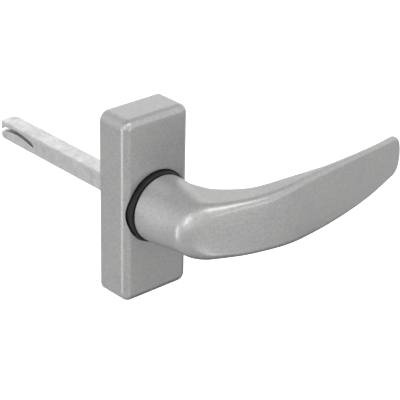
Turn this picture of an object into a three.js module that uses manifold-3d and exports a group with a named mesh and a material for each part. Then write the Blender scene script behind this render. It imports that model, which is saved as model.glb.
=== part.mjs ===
// A tilt-and-turn window handle: a cast lever on a narrow rosette, with the square spindle
// that drives the lock inside the sash.
//
// Units are millimetres. The sash surface is the plane y = 0 and the room is towards -Y.
// The spindle runs along +Y into the sash, the lever points to +X, and +Z is up.
// The origin is the centre of the rosette's back, on the spindle's axis.
import * as THREE from "three";
import { mergeVertices } from "three/addons/utils/BufferGeometryUtils.js";
import Module from "manifold-3d";

const wasm = await Module();
wasm.setup();

// ---------------------------------------------------------------- driving dimensions

const ROUND = 64; // sides of a full circle
const GAP = 0.3; // play between neighbouring pieces
const RUNNING = 0.1; // radial play of the journal in its bush

const COVER_WIDTH = 28;
const COVER_HEIGHT = 68;
const COVER_DEPTH = 13.5;
const COVER_CORNER = 3.4;
const COVER_EDGE = 2.8; // round-over of the front edge
const COVER_WALL = 1.6;
const COVER_FACE = 2;
const COVER_HOLE_R = 13;
const COVER_TRAVEL_ROOM = 0.4; // between the cover's walls and the base plate

const BASE_FRONT = -10.8;
const BASE_CORNER = 2;
const BASE_BORE_R = 9.3;
const SCREW_SPACING = 43;
const SCREW_HOLE_R = 2.75;
const SCREW_HEAD_R = 5.1;
const NIB_R = 5;
const NIB_LENGTH = 2.5;

const POCKET_HALF_X = 10.4; // the hollow that holds the detent
const POCKET_HALF_Z = 16.2;
const POCKET_FRONT = -6.9;
const PLATE_HALF_X = 10.8;
const PLATE_HALF_Z = 20.5;
const PLATE_FRONT = -1.7;
const PLATE_THICK = 1;
const PLATE_HOLE_R = 6.5;
const RIVET_X = 8.7;
const RIVET_Z = 18.3;
const RIVET_SHANK_R = 1;
const RIVET_HEAD_R = 1.9;
const RIVET_HEAD_THICK = 0.5;
const RIVET_DEPTH = 3.2;

const COLLAR_FRONT = -15.5;
const COLLAR_R = 12.7;
const SLEEVE_R = 9;

const JOURNAL_R = 7.6;
const BOSS_HALF = 5.2; // the journal's squared rear end, which drives the cam
const BOSS_BACK = -2;
const GROOVE_R = 5.9;

const THRUST_WASHER_R = 10.1;
const THRUST_WASHER_THICK = 0.6;
const WAVE_WASHER_R = 8;
const WAVE_WASHER_THICK = 0.5;
const CAM_HALF = 8;
const CAM_CORNER_R = 9.6;
const CAM_THICK = 2;
const RING_R = 8.2;
const RING_THICK = 0.7;
const RING_OPENING = Math.PI / 3;

const SPRING_THICK = 0.5;
const SPRING_HALF_LENGTH = 15.6;
const SPRING_BOW = 1.2;
const SPRING_BACK = -2.1;

const CLIP_HALF_WIDTH = 4;
const CLIP_THICK = 0.5;
const CLIP_DEPTH = 1.7;
const CLIP_FRONT = -9;
const CLIP_BACK = -2;
const CLIP_CREST_HALF = 0.5; // the flat top of the strip's hump
const CLIP_CREST_FOOT = 1.5;

const SPINDLE_SIDE = 7;
const SPINDLE_EDGE = 0.5;
const SPINDLE_FRONT = -27;
const SPINDLE_BACK = 74;
const SLIT_LENGTH = 21;
const SLIT_WIDTH = 1.5;
const SLIT_END_Z = -0.5; // height of the slit's centre line at its mouth and its root
const SLIT_CREST_Z = 1.3; // and halfway between them
const PIN_R = 1.25;
const PIN_LENGTH = 14.4;
const PIN_Y = -12.8;

const NECK_R = 12.1; // where the neck meets the collar
const NOSE_R = 10.3; // where the neck meets the front face
const LEVER_TIP = 96.4;
const BEYOND = -60; // a plane in front of the whole handle

// The neck's radius on its way from the front to the collar, [radius, y].
const NECK_LINE = [
  [NOSE_R - 0.8, BEYOND],
  [NOSE_R, -36],
  [10.7, -30],
  [11.5, -24],
];

// The lever seen from above: its front face, from the nose to the tip, and its back,
// from the tip to the foot of the hollow where it joins the neck.
const FRONT_LINE = [
  [-10.7, -36.4],
  [-3, -41.2],
  [6, -45],
  [15, -48],
  [27, -49.5],
  [42, -48.2],
  [60, -45.9],
  [78, -42.6],
  [LEVER_TIP, -37.9],
];
const BACK_LINE = [
  [LEVER_TIP, -34],
  [80, -38],
  [60, -41.4],
  [50, -42.3],
  [42, -42.1],
  [30, -40.5],
  [24, -39.3],
  [19, -37],
  [15, -33],
  [12.6, -28.8],
  [11.4, -24],
];
const BACK_FOOT = [-4, -24]; // inside the neck, where the blade's outline closes

// The lever seen from the room: half its height, from the nose to the blunt tip.
const HALF_HEIGHT_LINE = [
  [0, NOSE_R],
  [18, 10.7],
  [38, 11.7],
  [60, 10.9],
  [78, 9.5],
  [89.5, 8.2],
  [92.6, 7.6],
  [94.8, 6.2],
  [95.9, 3.8],
  [LEVER_TIP, 0],
];

// The blade seen end on: half its height grows from the neck's side to the full blade, [y, half height].
const FLARE_LINE = [
  [-23, 0],
  [-25, 4],
  [-28.5, 7],
  [-33, 9.7],
  [-38, 11.2],
  [-41, 12],
  [-50, 12],
];

// ---------------------------------------------------------------- finishes

const silverPaint = new THREE.MeshStandardMaterial({ color: 0xa3a2a0, roughness: 0.5, metalness: 0.6 });
const blackNylon = new THREE.MeshStandardMaterial({ color: 0x1c1c1e, roughness: 0.45, metalness: 0 });
const zincPlate = new THREE.MeshStandardMaterial({ color: 0xc8c9c6, roughness: 0.35, metalness: 0.9 });
const zincCasting = new THREE.MeshStandardMaterial({ color: 0x9b9da0, roughness: 0.6, metalness: 0.8 });
const springSteel = new THREE.MeshStandardMaterial({ color: 0x70747a, roughness: 0.3, metalness: 0.95 });
const whiteAcetal = new THREE.MeshStandardMaterial({ color: 0xdcdad2, roughness: 0.5, metalness: 0 });

// ---------------------------------------------------------------- solids

const points = (pairs) => pairs.map(([a, b]) => new THREE.Vector2(a, b));

// A closed three.js geometry as a manifold-3d solid.
function solid(geometry) {
  const bare = geometry.clone();
  bare.deleteAttribute("normal");
  bare.deleteAttribute("uv");
  const merged = mergeVertices(bare, 1e-4);
  const vertProperties = new Float32Array(merged.attributes.position.array);
  const triVerts = new Uint32Array(merged.index.array);
  return new wasm.Manifold(new wasm.Mesh({ numProp: 3, vertProperties, triVerts }));
}

function joined(first, ...others) {
  return others.reduce((whole, other) => whole.add(other), first);
}

function cut(first, ...tools) {
  return tools.reduce((whole, tool) => whole.subtract(tool), first);
}

// A shape drawn in X and Z, standing from y = front to y = back.
function slabAlongY(shape, front, back) {
  const geometry = new THREE.ExtrudeGeometry(shape, { depth: back - front, bevelEnabled: false });
  geometry.rotateX(Math.PI / 2);
  geometry.translate(0, back, 0);
  return solid(geometry);
}

// A shape drawn in X and Y, standing from z = low to z = high.
function slabAlongZ(shape, low, high) {
  const geometry = new THREE.ExtrudeGeometry(shape, { depth: high - low, bevelEnabled: false });
  geometry.translate(0, 0, low);
  return solid(geometry);
}

// A shape drawn in Y and Z, standing from x = left to x = right.
function slabAlongX(shape, left, right) {
  const geometry = new THREE.ExtrudeGeometry(shape, { depth: right - left, bevelEnabled: false });
  const turn = new THREE.Matrix4().makeBasis(
    new THREE.Vector3(0, 1, 0),
    new THREE.Vector3(0, 0, 1),
    new THREE.Vector3(1, 0, 0),
  );
  geometry.applyMatrix4(turn);
  geometry.translate(left, 0, 0);
  return solid(geometry);
}

// A profile of [radius, y] pairs, turned about the spindle's axis.
function turned(profile) {
  return solid(new THREE.LatheGeometry(points(profile), ROUND));
}

// A plain cylinder about a line along Y.
function rod(radius, front, back, x = 0, z = 0, sides = ROUND) {
  const geometry = new THREE.CylinderGeometry(radius, radius, back - front, sides);
  geometry.translate(x, (front + back) / 2, z);
  return solid(geometry);
}

// A ring about the spindle's axis.
function ring(outer, inner, front, back) {
  return turned([
    [inner, front],
    [outer, front],
    [outer, back],
    [inner, back],
    [inner, front],
  ]);
}

// An upright rectangle with round corners, about (0, z).
function plateShape(halfX, halfZ, corner, z = 0) {
  const shape = new THREE.Shape();
  shape.moveTo(halfX, z - halfZ + corner);
  shape.absarc(halfX - corner, z + halfZ - corner, corner, 0, Math.PI / 2);
  shape.absarc(-halfX + corner, z + halfZ - corner, corner, Math.PI / 2, Math.PI);
  shape.absarc(-halfX + corner, z - halfZ + corner, corner, Math.PI, 1.5 * Math.PI);
  shape.absarc(halfX - corner, z - halfZ + corner, corner, 1.5 * Math.PI, 2 * Math.PI);
  return shape;
}

function squareShape(half) {
  return new THREE.Shape(points([[half, half], [-half, half], [-half, -half], [half, -half]]));
}

// A flat washer with a square hole, which the squared boss turns.
function washerSolid(outer, front, thick) {
  const back = front + thick;
  return cut(
    rod(outer, front, back),
    slabAlongY(squareShape(BOSS_HALF + GAP / 2), front - 1, back + 1),
  );
}

// ---------------------------------------------------------------- rosette

const halfWidth = COVER_WIDTH / 2;
const halfHeight = COVER_HEIGHT / 2;
const baseHalfX = halfWidth - COVER_WALL - COVER_TRAVEL_ROOM;
const baseHalfZ = halfHeight - COVER_WALL - COVER_TRAVEL_ROOM;
const screwPlaces = [SCREW_SPACING / 2, -SCREW_SPACING / 2];
const rivetPlaces = [
  [RIVET_X, RIVET_Z],
  [-RIVET_X, RIVET_Z],
  [-RIVET_X, -RIVET_Z],
  [RIVET_X, -RIVET_Z],
];

// The outer cap: a shell open at the back, with a round-over all round its front and one round
// hole for the collar. The hole is nearly as wide as the cap, so it also thins the two long walls,
// and the cap can be drawn off over the collar.
function coverSolid() {
  const outline = plateShape(halfWidth - COVER_EDGE, halfHeight - COVER_EDGE, COVER_CORNER - COVER_EDGE);
  const bevelled = new THREE.ExtrudeGeometry(outline, {
    depth: COVER_DEPTH,
    curveSegments: 6,
    bevelThickness: COVER_EDGE,
    bevelSize: COVER_EDGE,
    bevelSegments: 5,
  });
  bevelled.rotateX(Math.PI / 2);
  bevelled.translate(0, COVER_EDGE, 0);
  const room = plateShape(halfWidth + 5, halfHeight + 5, 1);
  const shell = solid(bevelled).intersect(slabAlongY(room, -COVER_DEPTH - 5, 0));
  const inside = plateShape(halfWidth - COVER_WALL, halfHeight - COVER_WALL, COVER_CORNER - COVER_WALL);
  return cut(
    shell,
    slabAlongY(inside, -COVER_DEPTH + COVER_FACE, 1),
    rod(COVER_HOLE_R, -COVER_DEPTH - 1, 1),
  );
}

// The shape shared by the rear plate and its recess: a rectangle that leaves room for the two nibs.
function rearPlateSolid(grow, front, back) {
  const sheet = plateShape(PLATE_HALF_X + grow, PLATE_HALF_Z + grow, 1);
  const nibRoom = screwPlaces.map((z) => rod(NIB_R + GAP - grow, front - 1, back + 1, 0, z));
  return cut(slabAlongY(sheet, front, back), ...nibRoom);
}

function notchForClip(side) {
  const room = plateShape(
    CLIP_HALF_WIDTH + GAP,
    CLIP_DEPTH / 2 + GAP,
    GAP,
    side * (baseHalfZ - CLIP_DEPTH / 2 + GAP),
  );
  return slabAlongY(room, CLIP_FRONT - GAP, CLIP_BACK + GAP);
}

// The casting that is screwed to the sash: two screw holes in nibs that stand into the sash,
// the bore that carries the bush, and a hollow at the back for the detent.
function basePlateSolid() {
  const block = slabAlongY(plateShape(baseHalfX, baseHalfZ, BASE_CORNER), BASE_FRONT, 0);
  const nibs = screwPlaces.map((z) => rod(NIB_R, -1, NIB_LENGTH, 0, z));
  const holes = screwPlaces.map((z) => rod(SCREW_HOLE_R, BASE_FRONT - 1, NIB_LENGTH + 1, 0, z, 32));
  const sinks = screwPlaces.map((z) => {
    const depth = SCREW_HEAD_R - SCREW_HOLE_R;
    const cone = new THREE.CylinderGeometry(SCREW_HOLE_R, SCREW_HEAD_R, depth, 32);
    cone.translate(0, BASE_FRONT + 1 + depth / 2, z);
    return joined(solid(cone), rod(SCREW_HEAD_R, BASE_FRONT - 1, BASE_FRONT + 1, 0, z, 32));
  });
  const pocket = slabAlongY(plateShape(POCKET_HALF_X, POCKET_HALF_Z, 1.5), POCKET_FRONT, 1);
  const recess = rearPlateSolid(GAP, PLATE_FRONT - GAP / 2, 1);
  const rivetHoles = rivetPlaces.map(([x, z]) => {
    return rod(RIVET_SHANK_R + GAP / 2, PLATE_FRONT - RIVET_DEPTH - GAP, 1, x, z, 16);
  });
  return cut(
    joined(block, ...nibs),
    rod(BASE_BORE_R, BASE_FRONT - 1, POCKET_FRONT + 1),
    pocket,
    recess,
    ...holes,
    ...sinks,
    ...rivetHoles,
    notchForClip(1),
    notchForClip(-1),
  );
}

// The black collar: a wide flange that shows in the cover's hole, and a sleeve in the base plate's bore.
function collarBushSolid() {
  const bore = JOURNAL_R + RUNNING;
  const flangeBack = BASE_FRONT - GAP;
  return turned([
    [bore, COLLAR_FRONT],
    [COLLAR_R - 0.4, COLLAR_FRONT],
    [COLLAR_R, COLLAR_FRONT + 0.4],
    [COLLAR_R, flangeBack],
    [SLEEVE_R, flangeBack],
    [SLEEVE_R, POCKET_FRONT - GAP],
    [bore, POCKET_FRONT - GAP],
    [bore, COLLAR_FRONT],
  ]);
}

function rearCoverPlateSolid() {
  const holes = rivetPlaces.map(([x, z]) => rod(RIVET_SHANK_R + GAP / 2, -5, 1, x, z, 16));
  const plate = rearPlateSolid(0, PLATE_FRONT, PLATE_FRONT + PLATE_THICK);
  return cut(plate, rod(PLATE_HOLE_R, -5, 1), ...holes);
}

function rivetSolid(x, z) {
  const seat = PLATE_FRONT + PLATE_THICK + GAP / 3;
  return joined(
    rod(RIVET_SHANK_R, PLATE_FRONT - RIVET_DEPTH, seat + RIVET_HEAD_THICK / 2, x, z, 16),
    rod(RIVET_HEAD_R, seat, seat + RIVET_HEAD_THICK, x, z, 24),
  );
}

// A flat spring that bears on one side of the cam: a shallow arc, nearest the cam at its middle.
function leafSpringSolid(side) {
  const inner = CAM_HALF + GAP;
  const radius = (SPRING_HALF_LENGTH ** 2 + SPRING_BOW ** 2) / (2 * SPRING_BOW);
  const half = Math.asin(SPRING_HALF_LENGTH / radius);
  const centre = side * (inner + radius);
  const middle = side > 0 ? Math.PI : 0;
  const shape = new THREE.Shape();
  shape.absarc(centre, 0, radius, middle - half, middle + half);
  shape.absarc(centre, 0, radius - SPRING_THICK, middle + half, middle - half, true);
  return slabAlongY(shape, SPRING_BACK - CAM_THICK - 1, SPRING_BACK);
}

// A bent spring strip at each short end of the base plate, which grips the cover from inside.
function coverClipSolid(side) {
  const root = side * (baseHalfZ - CLIP_DEPTH + GAP);
  const crest = side * (baseHalfZ + COVER_TRAVEL_ROOM / 2);
  const skin = side * CLIP_THICK;
  const middle = (CLIP_FRONT + CLIP_BACK) / 2;
  const outline = [
    [CLIP_FRONT, root],
    [CLIP_BACK, root],
    [CLIP_BACK, root + skin],
    [middle + CLIP_CREST_FOOT, root + skin],
    [middle + CLIP_CREST_HALF, crest],
    [middle - CLIP_CREST_HALF, crest],
    [middle - CLIP_CREST_FOOT, root + skin],
    [CLIP_FRONT, root + skin],
  ];
  const shape = new THREE.Shape(points(outline));
  return slabAlongX(shape, -CLIP_HALF_WIDTH, CLIP_HALF_WIDTH);
}

// ---------------------------------------------------------------- lever and what turns with it

// The outline of the lever seen from the room: a round nose, two long edges and a blunt tip.
function leverFaceShape() {
  const upper = [...HALF_HEIGHT_LINE].reverse();
  const lower = HALF_HEIGHT_LINE.slice(0, -1).map(([x, z]) => [x, -z]);
  const edge = new THREE.SplineCurve(points([...lower, ...upper]));
  const shape = new THREE.Shape();
  shape.absarc(0, 0, NOSE_R, Math.PI / 2, 1.5 * Math.PI);
  edge.getPoints(64).slice(1, -1).forEach((p) => shape.lineTo(p.x, p.y));
  return shape;
}

// The outline of the blade seen end on, drawn in Y and Z.
function flareShape() {
  const upper = FLARE_LINE;
  const lower = FLARE_LINE.slice(1).reverse().map(([y, z]) => [y, -z]);
  return new THREE.Shape(points([...upper, ...lower]));
}

// The lever seen from above: everything behind its front face, or only the blade between front and back.
function leverPlanShape(closing) {
  const front = new THREE.SplineCurve(points(FRONT_LINE)).getPoints(32);
  return new THREE.Shape([...front, ...closing]);
}

function leverSolid() {
  const collarGap = COLLAR_FRONT - GAP;
  const tall = NECK_R + 3;
  const left = -NECK_R - 5;
  const wayRound = points([[LEVER_TIP, 1], [left, 1], [left, COLLAR_FRONT]]);
  const behindFront = leverPlanShape(wayRound);
  const backLine = new THREE.SplineCurve(points(BACK_LINE)).getPoints(36);
  const blade = slabAlongZ(leverPlanShape([...backLine, ...points([BACK_FOOT])]), -tall, tall);
  const outline = slabAlongY(leverFaceShape(), BEYOND, 1);
  const face = outline.intersect(slabAlongX(flareShape(), left, LEVER_TIP + 5));
  const neck = turned([
    [0, BEYOND],
    ...NECK_LINE,
    [NECK_R, collarGap - 1],
    [NECK_R, collarGap],
    [JOURNAL_R, collarGap],
    [JOURNAL_R, POCKET_FRONT],
    [0, POCKET_FRONT],
  ]);
  const body = joined(neck.intersect(slabAlongZ(behindFront, -tall, tall)), blade.intersect(face));
  const boss = slabAlongY(squareShape(BOSS_HALF), POCKET_FRONT - 1, BOSS_BACK);
  const grooveFront = ringFront - GAP / 2;
  const grooveBack = grooveFront + RING_THICK + GAP;
  const groove = ring(NECK_R, GROOVE_R, grooveFront, grooveBack);
  const socket = slabAlongY(squareShape(SPINDLE_SIDE / 2 + GAP), SPINDLE_FRONT - GAP, 1);
  return cut(joined(body, boss), groove, socket, crossRod(PIN_R + GAP / 2, 2 * NECK_R, PIN_Y));
}

// A short rod along Z that crosses the spindle's axis.
function crossRod(radius, length, y) {
  const geometry = new THREE.CylinderGeometry(radius, radius, length, 24);
  geometry.rotateX(Math.PI / 2);
  geometry.translate(0, y, 0);
  return solid(geometry);
}

// The slit's outline in Y and Z: a channel of even width whose centre line is a shallow arch.
function slitShape() {
  const root = SPINDLE_BACK - SLIT_LENGTH;
  const steps = 16;
  const upper = [];
  const lower = [];
  for (let i = 0; i <= steps; i += 1) {
    const t = i / steps;
    const y = root + t * (SLIT_LENGTH + 1);
    const z = SLIT_END_Z + (SLIT_CREST_Z - SLIT_END_Z) * 4 * t * (1 - t);
    upper.push(new THREE.Vector2(y, z + SLIT_WIDTH / 2));
    lower.push(new THREE.Vector2(y, z - SLIT_WIDTH / 2));
  }
  return new THREE.Shape([...lower, ...upper.reverse()]);
}

// The square bar: rounded edges, a slit end that grips the lock, and a cross hole for its pin.
function spindleSolid() {
  const half = SPINDLE_SIDE / 2;
  const bar = slabAlongY(plateShape(half, half, SPINDLE_EDGE), SPINDLE_FRONT, SPINDLE_BACK);
  return cut(
    bar,
    slabAlongX(slitShape(), -SPINDLE_SIDE, SPINDLE_SIDE),
    crossRod(PIN_R + GAP / 2, 2 * SPINDLE_SIDE, PIN_Y),
  );
}

function detentCamSolid(front) {
  const block = slabAlongY(squareShape(CAM_HALF), front, front + CAM_THICK);
  const hole = slabAlongY(squareShape(BOSS_HALF + GAP / 2), front - 1, front + CAM_THICK + 1);
  return cut(block.intersect(rod(CAM_CORNER_R, front - 1, front + CAM_THICK + 1)), hole);
}

// An open ring that snaps into the groove round the squared boss.
function retainingRingSolid(front) {
  const shape = new THREE.Shape();
  const start = RING_OPENING / 2;
  const end = 2 * Math.PI - start;
  shape.absarc(0, 0, RING_R, start, end);
  shape.absarc(0, 0, GROOVE_R + GAP / 2, end, start, true);
  return slabAlongY(shape, front, front + RING_THICK);
}

const thrustFront = POCKET_FRONT + GAP / 2;
const waveFront = thrustFront + THRUST_WASHER_THICK + GAP / 2;
const camFront = waveFront + WAVE_WASHER_THICK + GAP / 2;
const ringFront = camFront + CAM_THICK + GAP / 2;

// ---------------------------------------------------------------- assembly

function piece(name, body, material) {
  const made = body.getMesh();
  const geometry = new THREE.BufferGeometry();
  geometry.setAttribute("position", new THREE.BufferAttribute(new Float32Array(made.vertProperties), 3));
  geometry.setIndex(new THREE.BufferAttribute(new Uint32Array(made.triVerts), 1));
  const mesh = new THREE.Mesh(geometry, material);
  mesh.name = name;
  return mesh;
}

const rosette = new THREE.Group();
rosette.add(
  piece("base_plate", basePlateSolid(), zincCasting),
  piece("collar_bush", collarBushSolid(), blackNylon),
  piece("leaf_spring_right", leafSpringSolid(1), springSteel),
  piece("leaf_spring_left", leafSpringSolid(-1), springSteel),
  piece("rear_plate", rearCoverPlateSolid(), zincPlate),
  piece("cover_clip_upper", coverClipSolid(1), springSteel),
  piece("cover_clip_lower", coverClipSolid(-1), springSteel),
);
rivetPlaces.forEach(([x, z], i) => {
  rosette.add(piece(`rear_plate_rivet_${i + 1}`, rivetSolid(x, z), zincPlate));
});

const cap = new THREE.Group();
cap.add(piece("cover", coverSolid(), silverPaint));

const turning = new THREE.Group();
turning.add(
  piece("lever", leverSolid(), silverPaint),
  piece("square_spindle", spindleSolid(), zincPlate),
  piece("spindle_pin", crossRod(PIN_R, PIN_LENGTH, PIN_Y), springSteel),
  piece("thrust_washer", washerSolid(THRUST_WASHER_R, thrustFront, THRUST_WASHER_THICK), zincPlate),
  piece("wave_washer", washerSolid(WAVE_WASHER_R, waveFront, WAVE_WASHER_THICK), springSteel),
  piece("detent_cam", detentCamSolid(camFront), whiteAcetal),
  piece("retaining_ring", retainingRingSolid(ringFront), springSteel),
);

const handle = new THREE.Group();
handle.add(rosette, cap, turning);

export default handle;
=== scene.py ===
# %% [markdown]
# # A tilt-and-turn window handle
#
# The real thing is a small assembly. A cast lever turns in a black nylon collar. The collar sits in a
# narrow zinc base plate that is screwed to the window sash, and a thin metal cap hides the screws. A
# long square spindle runs back from the lever into the lock. This lesson builds each of those pieces as
# a numpy surface, gives each one a finish made of nodes, and lights the whole like a studio shot.
#
# The mechanical model already exists, and it is the frame that everything here is fitted to. So the
# first step loads it, and every later size is read from it.

# %% Load the mechanical model
import math
import bpy
import bmesh
import numpy as np
from mathutils import Matrix, Vector


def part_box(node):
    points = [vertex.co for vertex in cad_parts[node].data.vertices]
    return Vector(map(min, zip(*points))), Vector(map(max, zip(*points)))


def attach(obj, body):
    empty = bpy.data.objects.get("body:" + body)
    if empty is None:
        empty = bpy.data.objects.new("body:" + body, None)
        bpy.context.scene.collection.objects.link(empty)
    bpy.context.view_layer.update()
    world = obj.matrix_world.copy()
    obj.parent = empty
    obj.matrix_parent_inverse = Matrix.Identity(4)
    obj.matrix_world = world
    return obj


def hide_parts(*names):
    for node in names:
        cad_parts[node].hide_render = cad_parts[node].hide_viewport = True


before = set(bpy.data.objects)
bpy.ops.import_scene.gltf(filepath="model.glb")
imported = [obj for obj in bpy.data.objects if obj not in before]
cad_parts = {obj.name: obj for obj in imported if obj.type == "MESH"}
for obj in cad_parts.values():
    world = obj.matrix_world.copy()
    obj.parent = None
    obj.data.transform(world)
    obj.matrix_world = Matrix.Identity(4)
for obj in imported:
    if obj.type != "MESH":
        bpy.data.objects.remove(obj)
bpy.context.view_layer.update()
MM = 0.001
print("pieces in the frame:", len(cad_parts))

# %% [markdown]
# ## From an array to a mesh
#
# Nearly every piece below is a grid: rows of closed loops, one after another along the piece. A grid
# can be stitched into a mesh in three ways: its rows can close on themselves, like a ring, or its two
# ends can each be shut by a single point or by one flat face. The faces are worked out as whole arrays
# of indices, because a loop over a hundred thousand corners in Python is slow.
#
# A surface must face outwards. The sum of the little pyramids from the origin to each face is the
# volume, and it comes out negative when the faces look inwards, so the helper measures it and turns
# them round if it has to.

# %% Stitch a grid of loops into a piece


def grid_faces(rows, columns, ring):
    """Four corners for each cell: row r and column c, the next column, the next row of both."""
    row = np.arange(rows if ring else rows - 1)[:, None]
    column = np.arange(columns)[None, :]
    after = (row + 1) % rows
    beside = (column + 1) % columns
    corners = [
        row * columns + column,
        row * columns + beside,
        after * columns + beside,
        after * columns + column,
    ]
    return np.stack(np.broadcast_arrays(*corners), axis=-1).reshape(-1, 4)


def volume_of(points, corners):
    """A sixth of the sum of a . (b x c) over the triangles: the volume inside a closed surface."""
    a, b, c = (points[corners[:, k]] for k in range(3))
    return float(np.einsum("ij,ij->i", a, np.cross(b, c)).sum() / 6)


def mesh_piece(name, points, faces, sharp_degrees=40):
    """A mesh object from points and from arrays of faces, each array with its own number of corners."""
    corner_total = np.concatenate([np.full(len(f), f.shape[1]) for f in faces])
    corners = np.concatenate([f.ravel() for f in faces])
    mesh = bpy.data.meshes.new(name)
    mesh.vertices.add(len(points))
    mesh.vertices.foreach_set("co", np.asarray(points, np.float32).ravel())
    mesh.loops.add(len(corners))
    mesh.loops.foreach_set("vertex_index", corners.astype(np.int32))
    mesh.polygons.add(len(corner_total))
    starts = np.concatenate([[0], np.cumsum(corner_total)[:-1]])
    mesh.polygons.foreach_set("loop_start", starts.astype(np.int32))
    mesh.polygons.foreach_set("use_smooth", np.ones(len(corner_total), bool))
    mesh.update(calc_edges=True)
    mesh.validate()
    mesh.set_sharp_from_angle(angle=math.radians(sharp_degrees))
    piece = bpy.data.objects.new(name, mesh)
    bpy.context.scene.collection.objects.link(piece)
    return piece


def loops_piece(name, grid, ends=None, sharp_degrees=40):
    """A closed surface from a grid of loops, (rows, columns, 3).

    ends is None where the rows close on themselves, or a pair: a point for an end that closes in a
    pole, or "flat" for one that is shut by a single face.
    """
    rows, columns = grid.shape[:2]
    points = grid.reshape(-1, 3)
    faces = [grid_faces(rows, columns, ends is None)]
    column = np.arange(columns)
    beside = (column + 1) % columns
    for which, end in enumerate(ends or ()):
        first = 0 if which == 0 else (rows - 1) * columns
        around = (beside, column) if which == 0 else (column, beside)
        if isinstance(end, str):
            loop = first + (column[::-1] if which == 0 else column)
            faces.append(loop[None, :])
            continue
        pole = np.full(columns, len(points))
        points = np.vstack([points, end])
        faces.append(np.stack([first + around[0], first + around[1], pole], axis=1))
    triangles = [f[:, [0, k, k + 1]] for f in faces for k in range(1, f.shape[1] - 1)]
    volume = volume_of(points, np.concatenate(triangles))
    if volume < 0:
        faces = [f[:, ::-1] for f in faces]
    piece = mesh_piece(name, points, faces, sharp_degrees)
    print(f"{name}: {len(piece.data.polygons)} faces, {abs(volume) / MM**3 / 1000:.2f} cm3")
    return piece


print("faces in a closed grid of 3 by 4 points:", len(grid_faces(3, 4, ring=True)))

# %% [markdown]
# Two more small tools. A line drawn through a few points gives the lever its long curves. A function
# that turns a profile about a line along Y makes the collar and the rivets.

# %% Smooth lines and turned shapes
CORNER_STEPS = 8


def smooth_line(x, knots):
    """The height at x of a curve through the knots.

    Between two knots it is the cubic with the knots' heights and slopes. A knot's slope is that of the
    straight line between its two neighbours, and the curve runs on straight past its ends.
    """
    kx, ky = np.array(knots, float).T
    slope = np.gradient(ky, kx)
    inside = np.clip(x, kx[0], kx[-1])
    k = np.clip(np.searchsorted(kx, inside, side="right") - 1, 0, len(kx) - 2)
    span = kx[k + 1] - kx[k]
    t = (inside - kx[k]) / span
    start = ky[k] * (1 + 2 * t) * (1 - t) ** 2 + slope[k] * span * t * (1 - t) ** 2
    end = ky[k + 1] * t**2 * (3 - 2 * t) + slope[k + 1] * span * t**2 * (t - 1)
    return start + end + (x - inside) * np.where(x < kx[0], slope[0], slope[-1])


def smooth_step(t):
    """0 up to t = 0, 1 from t = 1, and 3 t^2 - 2 t^3 between."""
    t = np.clip(t, 0, 1)
    return t * t * (3 - 2 * t)


def turned(profile, columns, centre=(0.0, 0.0)):
    """Rows of (radius, y) pairs carried round a line along Y: x = radius cos a, z = radius sin a."""
    radius, y = np.asarray(profile, float).T
    angle = np.linspace(0, 2 * np.pi, columns, endpoint=False)
    x = centre[0] + radius[:, None] * np.cos(angle)
    z = centre[1] + radius[:, None] * np.sin(angle)
    return np.stack([x, np.broadcast_to(y[:, None], x.shape), z], axis=-1)


def rounded_corners(profile, radii):
    """A closed profile with its corners rounded: each corner becomes a quarter of a superellipse.

    The corner's curve runs from a point one radius back along the edge that arrives, to one a radius
    on along the edge that leaves, as corner + back (1 - sin a) + on (1 - cos a).
    """
    profile = np.asarray(profile, float)
    arriving = np.roll(profile, 1, axis=0) - profile
    leaving = np.roll(profile, -1, axis=0) - profile
    arriving /= np.linalg.norm(arriving, axis=1, keepdims=True)
    leaving /= np.linalg.norm(leaving, axis=1, keepdims=True)
    a = np.linspace(0, np.pi / 2, CORNER_STEPS)[None, :, None]
    r = np.asarray(radii, float)[:, None, None]
    back = arriving[:, None] * (1 - np.sin(a))
    on = leaving[:, None] * (1 - np.cos(a))
    curve = profile[:, None] + r * (back + on)
    return curve.reshape(-1, 2)


tent = [(0, 0), (1, 1), (2, 0)]
print("a smooth line through", tent, "at x = 0.5:", smooth_line(np.array([0.5]), tent))

# %% [markdown]
# ## The camera
#
# The camera stands a little over half a metre away, to the left of the handle and above it, and it
# looks down at about 26 degrees. A long lens keeps the upright edges of the rosette nearly parallel. It
# is placed by its distance, heading and height, so that it can be read like a note from the studio. Its
# small lens shift slides the picture without turning the view.

# %% Camera
CAMERA_PLACE = Vector((-0.3257, -0.3962, 0.2500))
CAMERA_HEADING = math.radians(-42.39)
CAMERA_HEIGHT = math.radians(25.68)
CAMERA_ROLL = math.radians(1.34)
CAMERA_LENS = 148.0
CAMERA_SHIFT = (-0.022, -0.040)


def look_from(heading, height, roll):
    """The camera's axes: back points from the object to the lens, and roll turns right and up."""
    back = Vector((
        math.sin(heading) * math.cos(height),
        -math.cos(heading) * math.cos(height),
        math.sin(height),
    ))
    right = (-back).cross(Vector((0, 0, 1))).normalized()
    up = right.cross(-back)
    right, up = (
        right * math.cos(roll) + up * math.sin(roll),
        up * math.cos(roll) - right * math.sin(roll),
    )
    return Matrix((right, up, back)).transposed()


camera_data = bpy.data.cameras.new("studio_camera")
camera_data.lens = CAMERA_LENS
camera_data.sensor_width = 36.0
camera_data.shift_x, camera_data.shift_y = CAMERA_SHIFT
camera_data.clip_start = 0.01
camera_data.clip_end = 50.0
camera = bpy.data.objects.new("studio_camera", camera_data)
turn = look_from(CAMERA_HEADING, CAMERA_HEIGHT, CAMERA_ROLL).to_4x4()
camera.matrix_world = Matrix.Translation(CAMERA_PLACE) @ turn
bpy.context.scene.collection.objects.link(camera)
bpy.context.scene.camera = camera
print("the camera is", round(CAMERA_PLACE.length, 3), "m from the spindle's axis")

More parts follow.
